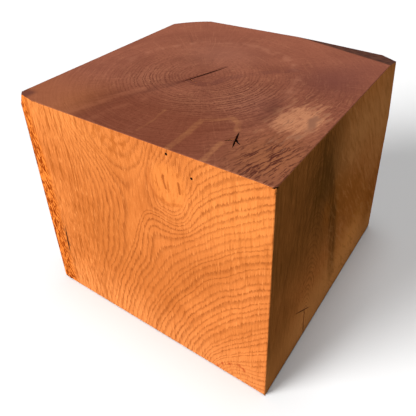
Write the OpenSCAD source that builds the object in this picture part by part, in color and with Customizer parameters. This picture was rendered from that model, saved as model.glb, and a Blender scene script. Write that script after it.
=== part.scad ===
// Solid oak block sawn from the heart of one log. The log stood upright, so the
// top and the underside are end grain and the four sides are long grain.
// The front faces -Y, the right side faces +X, and the block stands on z = 0.

/* [Block] */
// Width from the left face to the right face
block_width = 350; // [280:1:450]
// Depth from the front face to the back face, at the foot
block_depth = 359; // [280:1:450]
// Height from the underside to the top
block_height = 306; // [220:1:420]
// How far the back face leans forward between the foot and the top
back_lean = 12; // [0:1:24]

/* [Eased edges] */
// Radius round the four edges of the underside
foot_round = 3.5; // [1:0.5:10]
// Radius on the upright edge between the front and right faces
near_edge_round = 5; // [1:0.5:15]
// Radius on the upright edge between the front and left faces
front_left_round = 1.5; // [1:0.5:15]
// Radius on the upright edge between the back and right faces
back_right_round = 3; // [1:0.5:10]
// Radius that takes the sharpness off the top edges
top_round = 1.5; // [0.5:0.25:4]

/* [Natural edge at the back left] */
// How far the log's own surface takes away the back face
back_left_on_back = 49; // [20:1:90]
// How far it takes away the left face
back_left_on_side = 42; // [20:1:90]
// How far it stands out past a straight cut
back_left_bulge = 4; // [1:0.5:10]

/* [Natural edge at the back right] */
// How far the log's own surface takes away the back face, at the top
back_right_on_back = 24; // [10:1:60]
// How far it takes away the right face, at the top
back_right_on_side = 18; // [8:1:50]
// How far down it runs before it ends
back_right_length = 110; // [60:1:200]

/* [Sloping flat at the back right] */
// Where the slope starts, along the back edge of the top from the corner
slope_on_back = 155; // [60:1:200]
// Where the slope starts, along the right edge of the top from the corner
slope_on_side = 44; // [20:1:120]
// How far the slope drops at the corner
slope_drop = 6; // [3:0.5:16]

/* [Natural edge at the front left] */
// Width of the flat at the top, across the front face
front_left_width = 35; // [15:1:70]
// Depth of the flat at the top, along the left face
front_left_depth = 6.5; // [2:0.5:20]
// Depth of the flat at the foot, along the left face
front_left_foot_depth = 2; // [0:0.5:12]
// Width of the small steep facet above the flat, along the front edge of the top
tip_on_front = 13; // [6:1:40]
// Width of that facet along the left edge of the top
tip_on_side = 12; // [6:1:40]
// How far down the square corner that facet would run
tip_drop = 30; // [20:1:80]

/* [Heart check] */
// Distance of the pith to the left of the block's middle
pith_left = 12; // [0:1:40]
// Distance of the pith in front of the block's middle
pith_forward = 16; // [0:1:40]
// Length of the drying check through the pith
heart_check_length = 70; // [30:1:120]
// Width of that check at its middle
heart_check_width = 2.2; // [0.6:0.2:4]
// Depth of that check
heart_check_depth = 12; // [4:1:40]
// Turn of that check from the block's width
heart_check_turn = 71; // [40:1:90]
// Length of the shake that branches off it
shake_length = 18; // [10:1:40]
// Width of the shake
shake_width = 1.4; // [0.6:0.2:3]
// Depth of the shake
shake_depth = 7; // [3:1:30]
// Turn of the shake from the heart check
shake_turn = 90; // [60:1:120]
// Where the shake leaves the heart check, in front of the pith
shake_along = 23; // [10:1:30]

/* [Star check in the top knot] */
// Distance of the star from the right face
star_from_right = 70; // [40:1:120]
// Distance of the star from the front face
star_from_front = 49; // [25:1:90]
// Length of the long arm, which runs away from the front face
star_long_arm = 31; // [15:1:45]
// Length of the arm that runs to the front left
star_left_arm = 15; // [8:1:25]
// Length of the arm that runs to the front right
star_right_arm = 14; // [8:1:25]
// Width of the arms at their middle
star_width = 2.6; // [0.8:0.2:5]
// Depth of the star
star_depth = 8; // [3:1:20]
// Turn of the long arm from the block's width
star_turn = 109; // [90:1:130]
// Turn of the left arm from the block's width
star_left_turn = 41; // [10:1:60]
// Turn of the right arm from the block's width
star_right_turn = 37; // [10:1:60]

/* [Beetle holes in the front face] */
// Diameter of the holes
beetle_hole_d = 3; // [1.5:0.5:6]
// Depth of the holes
beetle_hole_depth = 15; // [5:1:40]
// Distance of the upper hole from the right face
upper_hole_from_right = 118; // [80:1:140]
// Distance of the upper hole below the top
upper_hole_below_top = 6; // [5:0.5:15]
// Distance of the lower hole from the right face
lower_hole_from_right = 89; // [50:1:110]
// Distance of the lower hole below the top
lower_hole_below_top = 24; // [18:1:60]

/* [Checks in the side faces] */
// Length of the slanting check in the right face
side_check_length = 62; // [30:1:100]
// Width of that check
side_check_width = 1.4; // [0.6:0.2:4]
// Depth of that check
side_check_depth = 9; // [3:1:25]
// Slant of that check below the level
side_check_slant = 36; // [10:1:60]
// Distance of that check's middle from the front face
side_check_from_front = 92; // [60:1:130]
// Height of that check's middle above the foot
side_check_up = 59; // [45:1:110]
// Length of the upright slit that hangs from it
side_slit_length = 42; // [20:1:60]
// Width of the upright slit
side_slit_width = 1; // [0.6:0.2:3]
// Depth of the upright slit
side_slit_depth = 6; // [3:1:20]
// Where the upright slit leaves the slanting check, past its middle
side_slit_along = 8; // [0:1:15]
// Length of the slit beside the natural edge at the front left
wane_slit_length = 58; // [30:1:90]
// Width of that slit
wane_slit_width = 2.6; // [0.8:0.2:5]
// Depth of that slit
wane_slit_depth = 9; // [3:1:25]
// Distance of that slit from the left face
wane_slit_from_left = 32; // [24:1:60]
// Height of that slit's middle above the foot
wane_slit_up = 89; // [60:1:140]
// Lean of that slit from the upright
wane_slit_lean = 5; // [0:1:15]

/* [Hidden] */

// Cutters run this far past the surface that they cut
overrun = 10;
// A side branch of a check starts this far behind the check's own line
branch_overlap = 3;
// A cutter as large as this clears the whole block
reach = block_width + block_depth + block_height;
curve_fn = 96;
slit_fn = 720;

left = -block_width / 2;
right = block_width / 2;
front = -block_depth / 2;
back = block_depth / 2;
top = block_height;
back_top = back - back_lean;
back_tilt = atan(back_lean / block_height);
pith = [-pith_left, -pith_forward, top];
star = [right - star_from_right, front + star_from_front, top];

// Place of the leaning back face at a height
function back_at(height) = back - back_lean * height / block_height;

// Radius of the arc that stands out by bulge over a chord
function arc_radius(chord, bulge) = (chord * chord / 4 + bulge * bulge) / (2 * bulge);

// Cutter for one rounded edge that runs along X, with the block below it and on its -Y side
module edge_cutter(length, radius) {
    run = length + 2 * overrun;
    translate([-run / 2, -radius, -radius])
        difference() {
            cube([run, radius + overrun, radius + overrun]);
            translate([-overrun, 0, 0])
                rotate([0, 90, 0])
                    cylinder(r = radius, h = run + 2 * overrun, $fn = curve_fn);
        }
}

// The four edges round a level face, at the height of that face
module level_edges(height, radius, back_edge, underside = false) {
    outward = [back_edge, right, back, right];
    for (side = [0 : 3]) {
        along = side % 2 == 0 ? block_width : block_depth;
        translate([0, 0, height])
            rotate([underside ? 180 : 0, 0, side * 90])
                translate([0, outward[side], 0])
                    edge_cutter(along, radius);
    }
}

// What follows is laid out on the leaning back face, which becomes the plane y = 0
module on_back() {
    translate([0, back, 0])
        rotate([back_tilt, 0, 0])
            children();
}

// Everything behind the leaning back face
module behind_back() {
    on_back()
        translate([-reach, 0, -reach])
            cube([2 * reach, reach, 2 * reach]);
}

// One upright edge at the corner (x, y), turned so that the block lies inward of it
module upright_edge(x, y, turn, radius) {
    translate([x, y, top / 2])
        rotate([0, 0, turn])
            rotate([0, 90, 0])
                edge_cutter(block_height, radius);
}

// Everything on the outer side of the plane through three points, given anticlockwise from outside
module outside_plane(a, b, c) {
    normal = cross(b - a, c - a);
    unit = normal / norm(normal);
    translate(a)
        rotate([0, acos(unit[2]), atan2(unit[1], unit[0])])
            translate([-reach, -reach, 0])
                cube([2 * reach, 2 * reach, reach]);
}

// The log's rounded surface at the back left, up the whole block
module back_left_wane() {
    chord = norm([back_left_on_back, back_left_on_side]);
    radius = arc_radius(chord, back_left_bulge);
    outward = [-back_left_on_side, back_left_on_back] / chord;
    middle = [left + back_left_on_back / 2, -back_left_on_side / 2];
    centre = middle - outward * (radius - back_left_bulge);
    on_back()
        difference() {
            translate([left - overrun, -back_left_on_side - overrun, -overrun])
                cube([
                    back_left_on_back + 2 * overrun,
                    back_left_on_side + 2 * overrun,
                    block_height + 2 * overrun
                ]);
            translate([centre[0], centre[1], -2 * overrun])
                cylinder(r = radius, h = block_height + 4 * overrun, $fn = slit_fn);
        }
}

// The log's surface at the back right, which tapers out below the top
module back_right_wane() {
    lower_end = top - back_right_length;
    outside_plane(
        [right - back_right_on_back, back_top, top],
        [right, back_top - back_right_on_side, top],
        [right, back_at(lower_end), lower_end]
    );
}

// The dark flat that slopes off the top towards the back right corner
module back_right_slope() {
    outside_plane(
        [right - slope_on_back, back_top, top],
        [right, back_top - slope_on_side, top],
        [right, back_top, top - slope_drop]
    );
}

// The narrow flat of the log's surface at the front left, which tapers towards the foot
module front_left_wane() {
    outside_plane(
        [left + front_left_width, front, top],
        [left, front + front_left_depth, top],
        [left, front + front_left_foot_depth, 0]
    );
}

// The small steep facet that takes the corner off above that flat
module front_left_tip() {
    outside_plane(
        [left + tip_on_front, front, top],
        [left, front + tip_on_side, top],
        [left, front, top - tip_drop]
    );
}

// A drying check as a slit along X that narrows to a point at both ends, cut down from z = 0
module slit(length, width, depth) {
    radius = arc_radius(length, width / 2);
    intersection() {
        translate([0, radius - width / 2, -depth])
            cylinder(r = radius, h = depth + overrun, $fn = slit_fn);
        translate([0, width / 2 - radius, -depth])
            cylinder(r = radius, h = depth + overrun, $fn = slit_fn);
    }
}

// What follows is laid out on the front face, with X across it and Y up it
module on_front(x, z) {
    translate([x, front, z])
        rotate([90, 0, 0])
            children();
}

// What follows is laid out on the right face, with X away from the front and Y up it
module on_right(y, z) {
    translate([right, y, z])
        rotate([90, 0, 90])
            children();
}

// A slit that leaves another one at the origin and runs off along X
module branch_slit(length, width, depth) {
    translate([length / 2 - branch_overlap, 0, 0])
        slit(length, width, depth);
}

module heart_check() {
    translate(pith)
        rotate(heart_check_turn) {
            slit(heart_check_length, heart_check_width, heart_check_depth);
            translate([-shake_along, 0, 0])
                rotate(-shake_turn)
                    branch_slit(shake_length, shake_width, shake_depth);
        }
}

module star_check() {
    translate(star) {
        rotate(star_turn)
            slit(star_long_arm, star_width, star_depth);
        rotate(180 + star_left_turn)
            branch_slit(star_left_arm, star_width, star_depth);
        rotate(-star_right_turn)
            branch_slit(star_right_arm, star_width, star_depth);
    }
}

module beetle_hole(from_right, below_top) {
    on_front(right - from_right, top - below_top)
        translate([0, 0, -beetle_hole_depth])
            cylinder(d = beetle_hole_d, h = beetle_hole_depth + overrun, $fn = curve_fn);
}

module side_checks() {
    on_right(front + side_check_from_front, side_check_up)
        rotate(-side_check_slant) {
            slit(side_check_length, side_check_width, side_check_depth);
            translate([side_slit_along, 0, 0])
                rotate(side_check_slant - 90)
                    branch_slit(side_slit_length, side_slit_width, side_slit_depth);
        }
    on_front(left + wane_slit_from_left, wane_slit_up)
        rotate(90 - wane_slit_lean)
            slit(wane_slit_length, wane_slit_width, wane_slit_depth);
}

module oak_block() {
    color("peru")
        difference() {
            translate([left, front, 0])
                cube([block_width, block_depth, block_height]);
            behind_back();
            level_edges(0, foot_round, back, underside = true);
            level_edges(top, top_round, back_top);
            upright_edge(right, front, -90, near_edge_round);
            upright_edge(left, front, 180, front_left_round);
            on_back() upright_edge(right, 0, 0, back_right_round);
            back_left_wane();
            back_right_wane();
            back_right_slope();
            front_left_wane();
            front_left_tip();
            heart_check();
            star_check();
            beetle_hole(upper_hole_from_right, upper_hole_below_top);
            beetle_hole(lower_hole_from_right, lower_hole_below_top);
            side_checks();
        }
}

oak_block();
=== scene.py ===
"""Solid oak heart block: its natural edges, checks and oiled grain, on a pale floor in soft light."""

import math

import bmesh
import bpy
from mathutils import Matrix, Vector
from mathutils import noise as rough


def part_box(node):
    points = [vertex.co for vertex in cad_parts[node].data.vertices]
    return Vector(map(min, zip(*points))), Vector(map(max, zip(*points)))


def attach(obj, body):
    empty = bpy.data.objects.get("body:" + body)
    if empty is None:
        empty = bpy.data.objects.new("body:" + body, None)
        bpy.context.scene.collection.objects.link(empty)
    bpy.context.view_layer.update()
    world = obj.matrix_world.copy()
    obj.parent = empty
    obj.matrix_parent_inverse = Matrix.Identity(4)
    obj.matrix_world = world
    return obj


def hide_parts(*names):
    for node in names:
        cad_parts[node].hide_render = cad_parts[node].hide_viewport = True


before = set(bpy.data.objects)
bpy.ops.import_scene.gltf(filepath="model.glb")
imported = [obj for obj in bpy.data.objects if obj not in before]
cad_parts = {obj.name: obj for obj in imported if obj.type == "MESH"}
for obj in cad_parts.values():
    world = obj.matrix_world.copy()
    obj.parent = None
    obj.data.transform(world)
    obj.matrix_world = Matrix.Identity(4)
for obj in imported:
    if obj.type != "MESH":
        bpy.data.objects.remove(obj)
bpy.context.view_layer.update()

# Faces of the block, in millimetres
MM = 1000.0
LOW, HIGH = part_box("oak_block")
LEFT = LOW.x * MM
RIGHT = HIGH.x * MM
FRONT = LOW.y * MM
TOP = HIGH.z * MM

# Growth rings: their usual width on the long grain and on the end grain
SIDE_RING = 7.8
END_RING = 4.6

# The pith on the top, from the middle and from the front face
PITH_X = -12.0
PITH_BACK = 163.5

# The knot on the front, from the middle and from the floor, and the ring along the stem beside it
KNOT = (56.0, 262.0)
STEM_RING = -72.0

# Middle of the arches on the right face, from the front face
ARCH_BACK = 96.0

# Paths on the faces, in millimetres: across from the middle or back from the front, then up or back
KNOT_RIM = ((31.0, 274.0), (28.0, 258.0), (36.0, 244.0), (52.0, 238.0), (70.0, 243.0))
LEFT_FLAME = ((50.0, 272.0), (51.0, 258.0))
RIGHT_FLAME = ((69.0, 270.0), (70.0, 258.0))
RED_CURL = ((108.0, 4.0), (118.0, 19.0), (127.0, 25.0), (137.0, 33.0), (145.0, 29.0), (149.0, 18.0))
ARCH_LIMB = (
    (108.0, 290.0), (130.0, 232.0), (148.0, 195.0), (160.0, 155.0), (172.0, 100.0), (184.0, 40.0),
)
SLANTING_BAND = ((160.0, 190.0), (230.0, 150.0), (300.0, 80.0), (345.0, 20.0))
CHECK_HAIRLINE = ((97.0, 54.0), (103.0, 2.0))
PALE_VEIN = ((160.0, 146.0), (151.0, 122.0), (159.0, 102.0), (150.0, 78.0))
BRANCH_SIDE = ((58.0, 2.0), (57.0, 34.0), (54.0, 64.0))
BRANCH_CROWN = ((54.0, 64.0), (68.0, 75.0), (79.0, 86.0), (91.0, 80.0), (99.0, 65.0))
BRANCH_FAR_SIDE = ((97.0, 2.0), (97.0, 36.0))
SHORT_MARK = ((10.0, 14.0), (9.0, 40.0), (7.0, 61.0))
PITH_STAIN = ((-16.0, 140.0), (3.0, 137.0), (13.0, 147.0), (17.0, 166.0), (40.0, 195.0), (82.0, 234.0))
HEART_CHECK = ((-25.0, 126.0), (-12.0, 163.0), (-2.0, 196.0))
CHECK_TRAIL = ((-25.0, 126.0), (-50.0, 82.0), (-68.0, 4.0))
LEFT_TRAIL = ((-66.0, 82.0), (-98.0, 4.0))
LEFT_SHEEN = ((-52.0, 90.0), (-84.0, 4.0))
RIGHT_SHEEN = ((-33.0, 78.0), (-50.0, 4.0))

# Colours of the long grain, as red, green and blue
LIGHT_OAK = (0.355, 0.109, 0.026)
DEEP_OAK = (0.298, 0.086, 0.019)
SHADY_OAK = (0.215, 0.055, 0.008)
SUNNY_OAK = (0.430, 0.142, 0.032)
PALE_OAK_ABOVE = (0.470, 0.165, 0.042)
PALE_OAK_BELOW = (0.450, 0.165, 0.050)
BROWN_STREAK = (0.195, 0.049, 0.008)
LATE_WOOD = (0.145, 0.034, 0.006)
DARK_VESSEL = (0.160, 0.038, 0.005)
BRIGHT_FIBRE = (0.500, 0.185, 0.052)
CROTCH_SMEAR = (0.195, 0.047, 0.006)
SAPWOOD = (0.390, 0.106, 0.016)
SAPWOOD_FLECK = (0.120, 0.018, 0.001)
BARK = (0.075, 0.032, 0.014)
KNOT_WOOD = (0.385, 0.122, 0.025)
KNOT_MOTTLE = (0.185, 0.042, 0.006)
KNOT_FLAME = (0.150, 0.032, 0.005)
RIM_WOOD = (0.190, 0.040, 0.005)
CURL_RED = (0.205, 0.034, 0.008)

# Colours of the right face
# Painted shade: a tint over the whole right face
SHADE_TINT_OAK = (0.290, 0.125, 0.032)
# Painted shade on the right face, darkest towards the front edge
PAINTED_SHADE_OAK = (0.114, 0.042, 0.008)
CROWN_WOOD = (0.070, 0.026, 0.004)
LIMB_WOOD = (0.080, 0.031, 0.006)
BAND_WOOD = (0.215, 0.060, 0.003)
TAN_WOOD = (0.400, 0.182, 0.060)
# Painted light low at the back of the right face
PAINTED_BACK_LIGHT = (0.600, 0.225, 0.048)
# Painted light along the foot of the right face
PAINTED_FOOT_LIGHT = (0.640, 0.270, 0.080)
BACK_CORNER_WOOD = (0.190, 0.042, 0.000)
DARK_SLANT = (0.150, 0.050, 0.008)
LIGHT_SLANT = (0.430, 0.185, 0.060)
ARCH_LINE = (0.060, 0.022, 0.005)
HAIRLINE = (0.080, 0.022, 0.010)

# Colours of the end grain
RED_BROWN = (0.180, 0.059, 0.034)
DEEP_RED_BROWN = (0.128, 0.039, 0.023)
LIGHT_BAND = (0.205, 0.072, 0.042)
EARLY_WOOD = (0.330, 0.140, 0.075)
PALE_FIBRE = (0.300, 0.122, 0.064)
END_LATE_WOOD = (0.056, 0.015, 0.010)
LIGHT_RAY = (0.260, 0.100, 0.056)
DARK_RAY = (0.085, 0.026, 0.017)
DARK_PORE = (0.081, 0.024, 0.015)
PALE_RING = (0.290, 0.118, 0.070)
CORNER_TAN = (0.205, 0.074, 0.030)
CORNER_DASH = (0.050, 0.012, 0.008)
PALE_PATCH = (0.350, 0.150, 0.076)
VEIN_BROWN = (0.120, 0.052, 0.034)
DARK_BLOTCH = (0.070, 0.021, 0.014)
OUTLINE_TAN = (0.320, 0.132, 0.056)
STAIN_BROWN = (0.081, 0.025, 0.020)
CHECK_BROWN = (0.060, 0.014, 0.010)
TRAIL_BROWN = (0.089, 0.029, 0.019)
SHEEN_TAN = (0.270, 0.100, 0.054)
FRONT_TONE = (0.093, 0.022, 0.010)
WARM_TONE = (0.220, 0.072, 0.022)
SMUDGE_TONE = (0.085, 0.027, 0.022)
# Painted bluish sheen on the top behind the pith
PAINTED_SHEEN_TONE = (0.235, 0.098, 0.066)
BACK_TONE = (0.221, 0.073, 0.045)
TIP_TONE = (0.072, 0.025, 0.019)
# Dark weathered wood on the top's slopes, with painted shade as well on the back right slope
GRIME_AND_SHADE = (0.051, 0.022, 0.017)
WORN_AND_SHADED_WOOD = (0.089, 0.037, 0.025)

# Painted shade on the walls of the checks, slits and holes
OPENING_SHADE = (0.160, 0.060, 0.040)


class Shade:
    """A number, colour or direction that varies over a surface, held as a socket of its material."""

    def __init__(self, tree, socket=None):
        self.tree = tree
        self.socket = socket

    def node(self, kind, inputs=(), output=0, **settings):
        """Adds one node: its settings first, then the values or links of its sockets."""
        node = self.tree.nodes.new(kind)
        for name, value in settings.items():
            setattr(node, name, value)
        for key, value in dict(inputs).items():
            if isinstance(value, Shade):
                self.tree.links.new(value.socket, node.inputs[key])
            else:
                node.inputs[key].default_value = value
        return Shade(self.tree, node.outputs[output] if node.outputs else None)

    def math(self, operation, *values, **settings):
        return self.node("ShaderNodeMath", enumerate(values), operation=operation, **settings)

    def vector(self, operation, *values, **inputs):
        sockets = dict(enumerate(values)) | inputs
        return self.node("ShaderNodeVectorMath", sockets, operation=operation)

    def part(self, axis):
        return self.node("ShaderNodeSeparateXYZ", {0: self}, output=axis)

    def __add__(self, other):
        return self.math("ADD", self, other)

    def __sub__(self, other):
        return self.math("SUBTRACT", self, other)

    def __rsub__(self, other):
        return self.math("SUBTRACT", other, self)

    def __mul__(self, other):
        return self.math("MULTIPLY", self, other)

    def __truediv__(self, other):
        return self.math("DIVIDE", self, other)

    def __abs__(self):
        return self.math("ABSOLUTE", self)

    __radd__ = __add__
    __rmul__ = __mul__


def length(across, up):
    squared = across * across + up * up
    return squared.math("SQRT", squared)


def larger(first, second, softness):
    """The larger of two values, with the crease between them rounded off."""
    return first.math("SMOOTH_MAX", first, second, softness)


def smaller(first, second, softness):
    """The smaller of two values, with the crease between them rounded off."""
    return first.math("SMOOTH_MIN", first, second, softness)


def ramp_up(low, high, value):
    """0 below low, 1 above high and a smooth rise between them."""
    inputs = {"Value": value, "From Min": low, "From Max": high}
    return value.node("ShaderNodeMapRange", inputs, interpolation_type="SMOOTHSTEP")


def away_from(across, up, middle, size):
    """Distance from a middle, as a share of the size each way."""
    return length((across - middle[0]) / size[0], (up - middle[1]) / size[1])


def ridge(value, middle, half_width):
    """1 where the value is at the middle, falling softly to nothing about two half widths off."""
    away = (value - middle) / half_width
    return away.math("EXPONENT", away * away * -1.0)


def spot(across, up, middle, size):
    """A soft round spot: 1 at its middle, falling to nothing about two sizes out."""
    return ridge(across, middle[0], size[0]) * ridge(up, middle[1], size[1])


def stroke(across, up, start, end, half_width):
    """1 along the line between two points of a face, fading out at half its width."""
    run = (end[0] - start[0], end[1] - start[1])
    span = run[0] ** 2 + run[1] ** 2
    along = (across - start[0]) * (run[0] / span) + (up - start[1]) * (run[1] / span)
    along = along.math("ADD", along, 0.0, use_clamp=True)
    away = length(across - start[0] - along * run[0], up - start[1] - along * run[1])
    return 1.0 - ramp_up(half_width * 0.3, half_width, away)


def curve(across, up, points, half_width):
    """1 along a bent line through the points, fading out softly at half its width."""
    drawn = None
    for start, end in zip(points, points[1:]):
        piece = stroke(across, up, start, end, half_width)
        drawn = larger(drawn, piece, 0.15) if drawn else piece
    return drawn


def combined(x, y, z):
    return x.node("ShaderNodeCombineXYZ", {"X": x, "Y": y, "Z": z})


def patches(place, size, detail=2.0, roughness=0.5):
    """Soft random patches of about the given size, from 0 to 1."""
    inputs = {"Vector": place, "Scale": 1.0 / size, "Detail": detail, "Roughness": roughness}
    return place.node("ShaderNodeTexNoise", inputs)


def drifted(place, size, distance):
    """The place moved about at random, by up to half the distance, over patches of the given size."""
    inputs = {"Vector": place, "Scale": 1.0 / size, "Detail": 2.0}
    drift = place.node("ShaderNodeTexNoise", inputs, output="Color")
    drift = drift.vector("SUBTRACT", drift, (0.5, 0.5, 0.5))
    drift = drift.vector("SCALE", drift, Scale=distance)
    return place.vector("ADD", place, drift)


def mixed(first, second, share):
    """A number that goes from the first to the second as share goes from 0 to 1."""
    return first + (second - first) * share


def tinted(first, second, share):
    """A colour that goes from the first to the second as share goes from 0 to 1."""
    inputs = {
        0: share,
        6: first if isinstance(first, Shade) else (*first, 1.0),
        7: second if isinstance(second, Shade) else (*second, 1.0),
    }
    return share.node("ShaderNodeMix", inputs, output=2, data_type="RGBA", clamp_factor=True)


class Place:
    """A place on the block in millimetres: across, back from the front face and up, both straight
    and along the grain's slow wander."""

    def __init__(self, straight):
        wander = drifted(drifted(straight, 45.0, 9.0), 9.0, 2.2)
        self.straight = straight
        self.x, self.back, self.z = straight.part(0), straight.part(1) - FRONT, straight.part(2)
        self.wx, self.wback, self.wz = wander.part(0), wander.part(1) - FRONT, wander.part(2)


def front_growth(x, z):
    """Growth rings as the front face cuts them. Arcs round the lower right meet the trunk's upright
    rings at a narrow stem, then arch over beside it and turn up round the knot. The crotch at the
    top and the swirl at the foot turn them aside."""
    arc_middle, arc_reach, arc_squash = (334.0, -131.0), 410.0, 1.14
    stem_foot, stem_lean, stem_bend = -46.0, 0.36, 0.0005
    crotch_height, crotch_spread = 195.0, 0.0065
    trunk_ring = -60.0
    blend = 6.0
    arcs = arc_reach - length((x - arc_middle[0]) * arc_squash, z - arc_middle[1])
    arcs = arcs + 24.0 * spot(x, z, (22.0, 192.0), (23.0, 36.0))
    above = z.math("MAXIMUM", z - crotch_height, 0.0)
    leaning = above * above * crotch_spread * ramp_up(-150.0, -70.0, x)
    from_stem = x - z * stem_lean + z * z * stem_bend - stem_foot + leaning
    trunk = smaller(from_stem * 0.88, from_stem * 0.55, blend)
    trunk = smaller(trunk, STEM_RING - trunk_ring, blend) + trunk_ring
    growth = larger(arcs, trunk - ramp_up(20.0, 150.0, x) * 120.0, blend)
    growth = growth - 34.0 * spot(x, z, KNOT, (26.0, 32.0))
    growth = growth - 14.0 * spot(x, z, (66.0, 226.0), (18.0, 22.0))
    growth = growth + 38.0 * spot(x, z, (-8.0, 322.0), (40.0, 50.0))
    return growth + 36.0 * spot(x, z, (134.0, -6.0), (34.0, 46.0))


def right_growth(back, z):
    """Growth rings as the right face cuts them: tall arches."""
    arch_top, arch_foot, steepness = 490.0, -10.0, 4.0
    aside = back - ARCH_BACK
    spread = aside / (1.0 + abs(aside) * 0.003)
    return arch_top - length(z - arch_foot, spread * steepness) * 0.9


def ring_lines(growth, spacing, drift):
    """Dark late wood at each ring, with rings of uneven width and strength."""
    inputs = {"W": growth, "Scale": 0.45 / spacing, "Detail": 1.0}
    uneven = growth.node("ShaderNodeTexNoise", inputs, noise_dimensions="1D")
    ring = growth / spacing + (uneven - 0.5) * 1.6 + drift
    phase = ring.math("FRACT", ring)
    year = ring.math("FLOOR", ring)
    strength = ring.node("ShaderNodeTexWhiteNoise", {"W": year}, noise_dimensions="1D")
    line = (1.0 - ramp_up(0.02, 0.46, phase)) + ramp_up(0.86, 1.0, phase)
    return line * (0.55 + 0.45 * strength)


def sawn_tones(at, at_front, growth_ahead):
    """Broad light and dark of the sawn wood, before its lines."""
    clouds = ramp_up(0.32, 0.68, patches(at.straight, 75.0, detail=3.0))
    colour = tinted(LIGHT_OAK, DEEP_OAK, clouds)
    broad = spot(at.x, at.z, (-50.0, 150.0), (75.0, 95.0)) * at_front
    colour = tinted(colour, SHADY_OAK, broad * 0.52)
    dark_band = (ridge(growth_ahead, 14.0, 20.0) + 0.6 * ridge(growth_ahead, 92.0, 10.0)) * at_front
    colour = tinted(colour, SHADY_OAK, dark_band * 0.34)
    bright = spot(at.x, at.z, (145.0, 265.0), (60.0, 60.0)) * at_front
    colour = tinted(colour, SUNNY_OAK, bright * 0.55)
    light_top = spot(at.x, at.z, (-90.0, 300.0), (75.0, 42.0)) * at_front
    colour = tinted(colour, PALE_OAK_ABOVE, light_top * 0.45)
    light_foot = (1.0 - ramp_up(5.0, 85.0, at.z)) * at_front
    return tinted(colour, PALE_OAK_BELOW, light_foot * 0.40)


def sapwood_strip(colour, at, at_front, fleck):
    """The log's own sapwood along the left of the front, reddish and flecked, with a scrap of bark."""
    strip_edge = at.wx - LEFT + ramp_up(200.0, 300.0, at.z) * 14.0 + (fleck - 0.5) * 16.0
    strip = (1.0 - ramp_up(22.0, 36.0, strip_edge)) * at_front
    colour = tinted(colour, SAPWOOD, strip * 0.85)
    colour = tinted(colour, SAPWOOD_FLECK, strip * ramp_up(0.44, 0.54, fleck))
    bark = spot(at.wx, at.wz, (LEFT + 32.0, 88.0), (6.0, 32.0)) * at_front
    return tinted(colour, BARK, bark * ramp_up(0.50, 0.60, fleck) * 0.85)


def knot_wood(colour, at, at_front, knot):
    """The knot's own wood: pale, with a dark rim and a few dark flames."""
    flame = patches(combined(at.wx, at.back, at.wz * 0.22), 4.2, detail=2.0)
    colour = tinted(colour, KNOT_WOOD, knot * at_front * 0.45)
    colour = tinted(colour, KNOT_MOTTLE, knot * at_front * ramp_up(0.54, 0.66, flame) * 0.60)
    flames = stroke(at.wx, at.wz, *LEFT_FLAME, 2.2) + stroke(at.wx, at.wz, *RIGHT_FLAME, 2.4)
    colour = tinted(colour, KNOT_FLAME, flames * at_front * 0.75)
    return tinted(colour, RIM_WOOD, curve(at.wx, at.wz, KNOT_RIM, 2.8) * at_front * 0.35)


def right_face(colour, at, on_right, line, fine, streak):
    """The right face, under a broad arch whose far limb ends sharply, and streaked slantwise behind it.
    Painted shade tints all of it and darkens it towards the front; painted light brightens its foot."""
    streaky = 0.60 + 1.3 * (streak - 0.5) + 1.3 * (fine - 0.5)
    above_foot = ramp_up(10.0, 110.0, at.z)
    beside_edge = 1.0 - ramp_up(20.0, 110.0, at.back)
    # Painted shade: a tint over the whole right face
    colour = tinted(colour, SHADE_TINT_OAK, on_right * 0.28)
    # Painted shade darkens the right face towards the front edge
    painted_shade = (1.0 - ramp_up(110.0, 260.0, at.back)) * on_right
    painted_shade = painted_shade * larger(ramp_up(70.0, 190.0, at.z), beside_edge * 0.75, 0.2)
    colour = tinted(colour, PAINTED_SHADE_OAK, painted_shade * (0.40 + 0.55 * streaky))
    crown = spot(at.back, at.z, (110.0, 248.0), (38.0, 52.0))
    colour = tinted(colour, CROWN_WOOD, crown * on_right * streaky * 1.4)
    band = curve(at.wback, at.wz, SLANTING_BAND, 50.0)
    colour = tinted(colour, BAND_WOOD, band * on_right * 0.48)

    tan = spot(at.back, at.z, (225.0, 255.0), (80.0, 50.0))
    tan = tan + 0.9 * spot(at.back, at.z, (325.0, 225.0), (55.0, 75.0))
    colour = tinted(colour, TAN_WOOD, tan * on_right * 0.46)
    # Painted light low at the back of the right face
    painted_back_light = spot(at.back, at.z, (250.0, 45.0), (75.0, 52.0))
    colour = tinted(colour, PAINTED_BACK_LIGHT, painted_back_light * on_right * 0.62)
    # Painted light along the foot of the right face, weaker beside the front edge
    painted_foot_light = (1.0 - above_foot) * (1.0 - 0.60 * beside_edge)
    colour = tinted(colour, PAINTED_FOOT_LIGHT, painted_foot_light * on_right * 0.62)
    limb = curve(at.wback, at.wz, ARCH_LIMB, 18.0) * (0.25 + 0.75 * above_foot)
    colour = tinted(colour, LIMB_WOOD, limb * on_right * streaky * 1.1)
    back_corner = spot(at.back, at.z, (328.0, 72.0), (36.0, 46.0))
    colour = tinted(colour, BACK_CORNER_WOOD, back_corner * on_right * 0.50)

    slant_place = combined(at.wback + at.wz * 0.8, (at.back - at.z) * 0.12, at.x)
    slant = patches(slant_place, 7.0, detail=3.0, roughness=0.6)
    behind = ramp_up(110.0, 190.0, at.back) * on_right
    colour = tinted(colour, DARK_SLANT, ramp_up(0.50, 0.66, slant) * behind * 0.30)
    colour = tinted(colour, LIGHT_SLANT, (1.0 - ramp_up(0.34, 0.50, slant)) * behind * 0.26)
    arch = ridge(at.wback, ARCH_BACK, 75.0) * on_right
    colour = tinted(colour, ARCH_LINE, line * arch * 0.55)
    hairline = stroke(at.wback, at.z, *CHECK_HAIRLINE, 1.8)
    return tinted(colour, HAIRLINE, hairline * on_right * 0.70)


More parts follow.
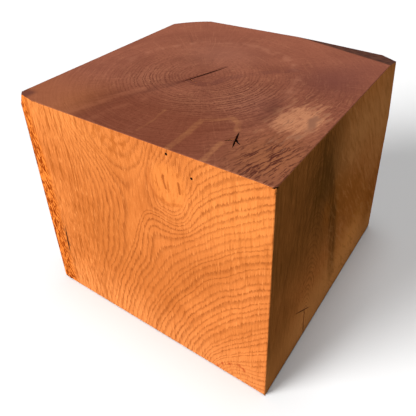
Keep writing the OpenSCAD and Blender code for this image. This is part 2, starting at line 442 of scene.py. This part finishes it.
def long_grain(at, facing):
    """Colour of the sawn sides, and how dark their ring lines are."""
    at_front = 1.0 - ramp_up(2.0, 16.0, at.back)
    at_right = ramp_up(RIGHT - 40.0, RIGHT - 8.0, at.x)
    on_right = ramp_up(0.60, 0.95, facing.part(0))
    from_heart = length(at.wx - PITH_X + at.wz * 0.14 - 20.0, at.wback - PITH_BACK - at.wz * 0.14)
    growth_ahead = front_growth(at.wx, at.wz)
    growth = mixed(from_heart, right_growth(at.wback, at.wz), at_right)
    growth = mixed(growth, growth_ahead, at_front)

    # Vessels cut along their length break the ring lines into short upright dashes
    fine = patches(combined(at.x, at.back, at.z * 0.10), 1.6, detail=2.0, roughness=0.6)
    dash = ramp_up(0.36, 0.60, patches(combined(at.x, at.back, at.z * 0.16), 2.6))
    streak = patches(combined(at.x + 40.0, at.back, at.z * 0.07), 4.5, detail=3.0, roughness=0.65)
    fleck = patches(combined(at.x + at.z * 0.3, at.back, at.z * 0.40), 3.2, detail=2.0)
    line = ring_lines(growth, SIDE_RING, (fine - 0.5) * 0.9) * (0.45 + 0.55 * dash)

    # Rings are faint at the left of the front, and fainter on the stem, the knot and the wood beside it
    knot = 1.0 - ramp_up(0.72, 1.12, away_from(at.wx, at.wz, KNOT, (24.0, 28.0)))
    beside_knot = spot(at.wx, at.wz, (12.0, 246.0), (12.0, 22.0))
    stem = 1.0 - ramp_up(0.5, 2.4, abs(growth_ahead - STEM_RING))
    calm = 1.0 - ramp_up(-110.0, -40.0, at.x)
    crotch = spot(at.wx, at.wz, (-18.0, 296.0), (42.0, 36.0))
    quiet = (1.0 - 0.60 * calm) * (1.0 - 0.78 * knot) * (1.0 - 0.80 * beside_knot)
    quiet = quiet * (1.0 - 0.65 * crotch) * (1.0 - 0.85 * stem)
    quiet = quiet * (1.0 - 0.20 * ramp_up(20.0, 110.0, at.x))
    line = line * (1.0 - at_front * (1.0 - quiet)) * (1.0 - 0.25 * on_right)

    colour = sawn_tones(at, at_front, growth_ahead)
    colour = tinted(colour, BROWN_STREAK, ramp_up(0.48, 0.66, streak) * (0.35 + 0.60 * calm))
    colour = tinted(colour, LATE_WOOD, line)
    colour = tinted(colour, DARK_VESSEL, ramp_up(0.54, 0.72, fine) * (0.45 + 0.55 * calm))
    bright_fibre = 1.0 - ramp_up(0.28, 0.46, fine)
    colour = tinted(colour, BRIGHT_FIBRE, bright_fibre * (0.30 + 0.30 * calm))
    smear = ramp_up(0.46, 0.60, patches(combined(at.wx, at.back, at.wz * 0.5), 5.5, detail=2.0))
    colour = tinted(colour, CROTCH_SMEAR, crotch * at_front * smear * 0.60)

    colour = sapwood_strip(colour, at, at_front, fleck)
    colour = knot_wood(colour, at, at_front, knot)
    curl = curve(at.wx, at.wz, RED_CURL, 3.4) * ramp_up(0.40, 0.60, fleck)
    colour = tinted(colour, CURL_RED, curl * at_front * 0.80)
    colour = right_face(colour, at, on_right, line, fine, streak)
    return colour, line


def pale_patch(colour, at, straight, smudged, broken):
    """A pale patch at the right edge, where the branch's wood starts, with a dark blotch beside it."""
    pale = spot(at.wx, at.wback, (140.0, 114.0), (34.0, 46.0))
    pale = ramp_up(0.35, 0.95, pale + (straight - 0.5) * 1.9 + (smudged - 0.5) * 1.2)
    colour = tinted(colour, PALE_PATCH, pale * 0.85)
    vein = curve(at.wx, at.wback, PALE_VEIN, 7.0)
    vein = larger(vein * broken, ramp_up(0.56, 0.68, straight), 0.1)
    colour = tinted(colour, VEIN_BROWN, pale * vein * 0.70)
    blotch = spot(at.x, at.back, (106.0, 114.0), (9.0, 24.0))
    blotch = blotch + 0.7 * spot(at.x, at.back, (96.0, 138.0), (12.0, 14.0))
    return tinted(colour, DARK_BLOTCH, blotch * (0.35 + 0.45 * broken))


def branch_outline(colour, at, fibre, grain, broken):
    """Pale outline of the branch to the left of the star check, and a short mark beside it."""
    outline = curve(at.wx, at.wback, BRANCH_SIDE, 5.5)
    outline = larger(outline, curve(at.wx, at.wback, BRANCH_CROWN, 5.0) * 0.6, 0.1)
    outline = larger(outline, curve(at.wx, at.wback, BRANCH_FAR_SIDE, 5.0) * 0.7, 0.1)
    outline = larger(outline, curve(at.wx, at.wback, SHORT_MARK, 2.6) * 0.6, 0.1)
    spotty = ramp_up(0.40, 0.62, fibre) * 0.5 + ramp_up(0.38, 0.60, grain) * 0.5
    return tinted(colour, OUTLINE_TAN, outline * (0.12 + 0.20 * broken + 0.60 * spotty))


def heart_marks(colour, at, broken):
    """A dark stain that hooks round the pith, and the heart check's trail to the front."""
    stain = curve(at.wx, at.wback, PITH_STAIN, 9.0)
    colour = tinted(colour, STAIN_BROWN, stain * (0.10 + 0.32 * broken))
    colour = tinted(colour, CHECK_BROWN, curve(at.wx, at.wback, HEART_CHECK, 4.0) * 0.55)
    trail = curve(at.wx, at.wback, CHECK_TRAIL, 9.0)
    trail = larger(trail, curve(at.wx, at.wback, LEFT_TRAIL, 6.0) * 0.6, 0.1)
    sheen = curve(at.wx, at.wback, LEFT_SHEEN, 8.0) + curve(at.wx, at.wback, RIGHT_SHEEN, 7.0)
    colour = tinted(colour, TRAIL_BROWN, trail * (0.12 + 0.40 * broken))
    return tinted(colour, SHEEN_TAN, sheen * 0.40 * broken)


def broad_tones(colour, at):
    """Broad tones of the top: dark in front and at the right, a painted bluish sheen behind the pith,
    redder at the back and at the left, and dark on the tip at the front left."""
    front_tone = (1.0 - ramp_up(45.0, 125.0, at.back)) * ramp_up(-120.0, -50.0, at.x)
    front_tone = front_tone * (1.0 - ramp_up(60.0, 120.0, at.x))
    colour = tinted(colour, FRONT_TONE, front_tone * 0.54)
    warm_tone = (1.0 - ramp_up(20.0, 110.0, at.back)) * (1.0 - ramp_up(-110.0, -50.0, at.x))
    colour = tinted(colour, WARM_TONE, warm_tone * 0.50)
    smudge = spot(at.x, at.back, (130.0, 225.0), (44.0, 40.0))
    smudge = smudge + 0.6 * spot(at.x, at.back, (150.0, 280.0), (44.0, 40.0))
    smudge = smudge + 0.5 * spot(at.x, at.back, (82.0, 126.0), (32.0, 34.0))
    colour = tinted(colour, SMUDGE_TONE, smudge * 0.58)
    # Painted bluish sheen behind the pith
    painted_sheen = spot(at.x, at.back, (-30.0, 235.0), (55.0, 46.0))
    colour = tinted(colour, PAINTED_SHEEN_TONE, painted_sheen * 0.30)
    beside_left = 1.0 - ramp_up(LEFT + 20.0, LEFT + 110.0, at.x)
    back_tone = larger(ramp_up(170.0, 330.0, at.back), beside_left, 0.2)
    colour = tinted(colour, BACK_TONE, back_tone * 0.32)
    tip = (1.0 - ramp_up(14.0, 24.0, at.x - LEFT)) * (1.0 - ramp_up(14.0, 24.0, at.back))
    return tinted(colour, TIP_TONE, tip * 0.75)


def weathered_and_shaded_slopes(colour, at):
    """The slopes that fall off the top at two corners: dark weathered wood, and on the back right
    slope painted shade as well.
    """
    weathered_and_shaded = ramp_up(0.25, 0.60, TOP - at.z) * ramp_up(TOP * 0.5, TOP * 0.9, at.z)
    slope_mottle = patches(combined(at.x, at.back * 2.0, at.z), 9.0, detail=3.0)
    worn_and_shaded = tinted(GRIME_AND_SHADE, WORN_AND_SHADED_WOOD, ramp_up(0.35, 0.65, slope_mottle))
    # Dark weathered wood, with painted shade as well on the back right slope
    return tinted(colour, worn_and_shaded, weathered_and_shaded)


def end_grain(at):
    """Colour of the top and the underside, and how dark their ring lines are."""
    from_pith = length(at.wx - PITH_X, at.wback - PITH_BACK)
    angle = from_pith.math("ARCTAN2", at.wback - PITH_BACK, at.wx - PITH_X)
    smudged = patches(at.straight, 16.0, detail=3.0)
    broken = ramp_up(0.34, 0.60, smudged)
    grain = patches(at.straight, 2.4, detail=2.0)

    # Rings are clear to the right, to the left and in front of the pith, and fade out towards the back
    clear = 1.3 * spot(at.x, at.back, (66.0, 126.0), (38.0, 44.0))
    clear = larger(clear, 0.6 * spot(at.x, at.back, (-66.0, 118.0), (36.0, 36.0)), 0.2)
    clear = larger(clear, spot(at.x, at.back, (22.0, 88.0), (38.0, 20.0)), 0.2)
    faded = 1.0 - 0.70 * ramp_up(150.0, 250.0, at.back)
    along = patches(combined(angle * 24.0, from_pith * 0.22, at.z), 1.0, detail=2.0)
    fibre = patches(combined(from_pith, angle * 16.0, at.z), 2.4, detail=3.0, roughness=0.6)
    line = ring_lines(from_pith + (along - 0.5) * 3.0, END_RING, (fibre - 0.5) * 0.6)
    line = line * ramp_up(0.28, 0.55, along)

    # Near the front right corner the rings run straight back, broken into dashes
    corner = spot(at.x, at.back, (150.0, 36.0), (38.0, 48.0))
    across = at.wx - at.wback * 0.22
    straight = patches(combined(across, at.wback * 0.14, at.z), 2.4, detail=3.0, roughness=0.6)
    dash = ring_lines(across + (smudged - 0.5) * 6.0, END_RING * 1.4, (straight - 0.5) * 1.2)
    dash = dash * ramp_up(0.38, 0.54, patches(combined(across * 0.5, at.wback * 0.17, at.z), 1.0))
    dash = larger(dash, ramp_up(0.52, 0.64, straight), 0.1)

    # Rays run out from the pith, clearest at the back left
    ray = patches(combined(angle * 75.0, from_pith * 0.012, at.z), 1.0)
    rayed = spot(at.x, at.back, (-95.0, 262.0), (80.0, 66.0))
    rayed = rayed + 0.6 * spot(at.x, at.back, (-80.0, 45.0), (50.0, 50.0))
    clouds = ramp_up(0.30, 0.70, patches(at.straight, 60.0, detail=3.0))
    band = patches(combined(from_pith, angle * 14.0, at.z), 17.0)
    colour = tinted(RED_BROWN, DEEP_RED_BROWN, clouds)
    colour = tinted(colour, LIGHT_BAND, ramp_up(0.52, 0.72, band) * 0.45)
    colour = tinted(colour, EARLY_WOOD, (1.0 - ramp_up(0.10, 0.45, line)) * clear * 0.22)
    colour = tinted(colour, PALE_FIBRE, ramp_up(0.54, 0.68, fibre) * (0.22 + 0.42 * clear))
    colour = tinted(colour, END_LATE_WOOD, line * (0.42 * faded + 0.76 * clear))
    colour = tinted(colour, LIGHT_RAY, ramp_up(0.56, 0.72, ray) * (0.28 + 0.40 * rayed))
    colour = tinted(colour, DARK_RAY, (1.0 - ramp_up(0.28, 0.44, ray)) * (0.28 + 0.35 * rayed))
    colour = tinted(colour, DARK_PORE, ramp_up(0.50, 0.68, grain) * 0.50)
    pale_ring = ridge(from_pith, 116.0, 6.0) * ramp_up(0.42, 0.60, smudged)
    colour = tinted(colour, PALE_RING, pale_ring * ramp_up(120.0, 180.0, at.back) * 0.40)

    # Dark dashes on tan wood near the front right corner
    colour = tinted(colour, CORNER_TAN, corner * 0.75)
    colour = tinted(colour, CORNER_DASH, dash * corner * 1.5)

    colour = pale_patch(colour, at, straight, smudged, broken)
    colour = branch_outline(colour, at, fibre, grain, broken)
    colour = heart_marks(colour, at, broken)
    colour = broad_tones(colour, at)
    colour = weathered_and_shaded_slopes(colour, at)
    return colour, mixed(line * 0.5, dash, corner)


def within(low, high, *place):
    """1 inside a box given by two corners, 0 outside it."""
    fade = 0.4
    inside = None
    for start, end, along in zip(low, high, place):
        share = ramp_up(start, start + fade, along) * (1.0 - ramp_up(end - fade, end, along))
        inside = inside * share if inside else share
    return inside


def in_openings(at):
    """1 on the walls of the checks, the slits and the beetle holes, which get painted shade."""
    skin = 0.3
    top_checks = ((LEFT + 40.0, 25.0, TOP - 40.0), (RIGHT - 40.0, 300.0, TOP - skin))
    front_slit = ((LEFT + 26.0, skin, 50.0), (LEFT + 40.0, 25.0, 125.0))
    beetle_holes = ((40.0, skin, 265.0), (110.0, 25.0, TOP - 2.5))
    right_checks = ((RIGHT - 25.0, 50.0, 5.0), (RIGHT - skin, 135.0, 100.0))
    boxes = (top_checks, front_slit, beetle_holes, right_checks)
    in_top, in_slit, in_holes, in_right = (within(*box, at.x, at.back, at.z) for box in boxes)
    return in_top + in_slit + in_holes + in_right


def oiled_oak():
    """Oak with an oil finish: bright long grain on the sides, dark end grain above and below."""
    material = bpy.data.materials.new("oiled_oak")
    material.use_nodes = True
    material.node_tree.nodes.clear()
    start = Shade(material.node_tree)
    place = start.node("ShaderNodeTexCoord", output="Object")
    place = place.vector("SCALE", place, Scale=MM)
    facing = start.node("ShaderNodeTexCoord", output="Normal")
    at = Place(place)

    side, side_line = long_grain(at, facing)
    end, end_line = end_grain(at)
    on_end = ramp_up(0.55, 0.80, abs(facing.part(2)))
    # Painted shade on the walls of the checks, slits and beetle holes
    side = tinted(side, OPENING_SHADE, in_openings(at))
    colour = tinted(side, end, on_end)
    line = mixed(side_line, end_line, on_end)

    relief = start.node("ShaderNodeBump", {"Strength": 0.25, "Distance": 0.0003, "Height": line * -1.0})
    surface = {
        "Base Color": colour,
        "Roughness": 0.55 + 0.15 * line,
        "Specular IOR Level": 0.0,
        "Normal": relief,
    }
    shader = start.node("ShaderNodeBsdfPrincipled", surface)
    start.node("ShaderNodeOutputMaterial", {"Surface": shader})
    return material


def pale_floor():
    """A large plain pale floor under the block."""
    half = 12.0
    pale_grey = (0.57, 0.57, 0.57, 1.0)
    mesh = bpy.data.meshes.new("floor")
    corners = [(-half, -half, 0), (half, -half, 0), (half, half, 0), (-half, half, 0)]
    mesh.from_pydata(corners, [], [(0, 1, 2, 3)])
    floor = bpy.data.objects.new("floor", mesh)
    bpy.context.scene.collection.objects.link(floor)
    material = bpy.data.materials.new("floor_paint")
    material.use_nodes = True
    shader = material.node_tree.nodes["Principled BSDF"]
    shader.inputs["Base Color"].default_value = pale_grey
    shader.inputs["Roughness"].default_value = 0.9
    shader.inputs["Specular IOR Level"].default_value = 0.0
    mesh.materials.append(material)


def soft_sun(name, strength, softness, heading, height):
    """A distant soft lamp. Heading is measured from the front towards the left, in degrees."""
    lamp = bpy.data.lights.new(name, "SUN")
    lamp.energy = strength * math.pi
    lamp.angle = math.radians(softness)
    light = bpy.data.objects.new(name, lamp)
    bpy.context.scene.collection.objects.link(light)
    level = math.cos(math.radians(height))
    towards = Vector((
        -level * math.sin(math.radians(heading)),
        -level * math.cos(math.radians(heading)),
        math.sin(math.radians(height)),
    ))
    light.rotation_euler = towards.to_track_quat("Z", "Y").to_euler()


def studio_light():
    """A soft key light from the front left, a weak fill from the right and a lamp overhead."""
    soft_sun("key_light", strength=3.0, softness=34.0, heading=32.0, height=20.0)
    soft_sun("fill_light", strength=0.06, softness=60.0, heading=-90.0, height=8.0)
    soft_sun("overhead_light", strength=0.70, softness=25.0, heading=0.0, height=90.0)
    ambient = 0.08
    world = bpy.data.worlds.new("studio")
    bpy.context.scene.world = world
    world.use_nodes = True
    world.node_tree.nodes["Background"].inputs["Color"].default_value = (1.0, 1.0, 1.0, 1.0)
    world.node_tree.nodes["Background"].inputs["Strength"].default_value = ambient


def photo_camera():
    """The camera as the photograph has it: a hand-held view with a small roll."""
    picture = 416.0
    focal = 473.7
    middle_row = 160.0
    azimuth, elevation, roll = (math.radians(turn) for turn in (36.07, 33.32, 2.40))
    backward = Vector((
        math.sin(azimuth) * math.cos(elevation),
        -math.cos(azimuth) * math.cos(elevation),
        math.sin(elevation),
    ))
    across = Vector((math.cos(azimuth), math.sin(azimuth), 0.0))
    down = (-backward).cross(across)
    image_x = math.cos(roll) * across + math.sin(roll) * down
    image_down = math.cos(roll) * down - math.sin(roll) * across
    camera_data = bpy.data.cameras.new("camera")
    camera_data.sensor_width = 36.0
    camera_data.lens = focal / picture * camera_data.sensor_width
    camera_data.shift_y = (middle_row - picture / 2) / picture
    camera = bpy.data.objects.new("camera", camera_data)
    bpy.context.scene.collection.objects.link(camera)
    turned = Matrix((image_x, -image_down, backward)).transposed().to_4x4()
    from_right_front_top = Vector((0.1388, -0.2848, 0.2360))
    corner = Vector((HIGH.x, LOW.y, HIGH.z))
    camera.matrix_world = Matrix.Translation(corner + from_right_front_top) @ turned
    bpy.context.scene.camera = camera


def hand_finish(place, facing):
    """How far the finished surface lies under the sawn shape: slight waves, and flutes on the
    log's skin."""
    wave_depth, waves_a_metre = 0.00012, 40.0
    flute_depth, flutes_across, flutes_along = 0.0012, 70.0, 5.0
    wave = wave_depth * (1.0 + rough.noise(place * waves_a_metre)) / 2
    upright = max(0.0, 1.0 - 3.0 * abs(facing.z))
    slanting = min(abs(facing.x), abs(facing.y))
    near_corner = facing.x > 0.0 and facing.y < 0.0
    skin = 0.0 if near_corner else upright * min(1.0, max(0.0, (slanting - 0.15) * 5.0))
    flute_place = Vector((place.x * flutes_across, place.y * flutes_across, place.z * flutes_along))
    flute = rough.noise(flute_place)
    return wave + skin * flute_depth * (1.0 + flute) / 2


def crisp_near_edge(shape):
    """Draws the rounded upright edge nearest the camera out to a tighter round, inside the same box."""
    sawn, crisp = 0.005, 0.0015
    reach = sawn * 1.02
    for vert in shape.verts:
        facing = vert.normal
        on_edge = vert.co.x > HIGH.x - reach and vert.co.y < LOW.y + reach
        if on_edge and abs(facing.z) < 0.1:
            vert.co += (sawn - crisp) * Vector((1.0 - facing.x, -1.0 - facing.y, 0.0))


def cut_in_grid(shape, step):
    """Cuts every face of the shape along evenly spaced planes, so that it can be given relief."""
    for axis in range(3):
        normal = Vector([float(axis == other) for other in range(3)])
        count = int((HIGH[axis] - LOW[axis]) / step)
        for place in range(1, count):
            point = LOW.copy()
            point[axis] += (HIGH[axis] - LOW[axis]) * place / count
            parts = shape.verts[:] + shape.edges[:] + shape.faces[:]
            bmesh.ops.bisect_plane(shape, geom=parts, dist=1e-7, plane_co=point, plane_no=normal)


def oak_block():
    """The block itself: the sawn solid with a hand-finished surface."""
    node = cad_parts["oak_block"]
    flat_within, sharp_above = math.radians(0.2), math.radians(32.0)
    relief_step = 0.007
    shape = bmesh.new()
    shape.from_mesh(node.data)
    bmesh.ops.dissolve_limit(shape, angle_limit=flat_within, verts=shape.verts, edges=shape.edges)
    cut_in_grid(shape, relief_step)
    shape.normal_update()
    crisp_near_edge(shape)
    moves = [(vert, vert.normal * hand_finish(vert.co, vert.normal)) for vert in shape.verts]
    for vert, inward in moves:
        vert.co -= inward
    mesh = bpy.data.meshes.new("oak_block_finished")
    shape.to_mesh(mesh)
    shape.free()
    mesh.shade_smooth()
    mesh.set_sharp_from_angle(angle=sharp_above)
    mesh.materials.append(oiled_oak())
    piece = bpy.data.objects.new("oak_block_finished", mesh)
    bpy.context.scene.collection.objects.link(piece)
    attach(piece, "root")
    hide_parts("oak_block")


bpy.context.scene.view_settings.view_transform = "Standard"
photo_camera()
pale_floor()
studio_light()
oak_block()
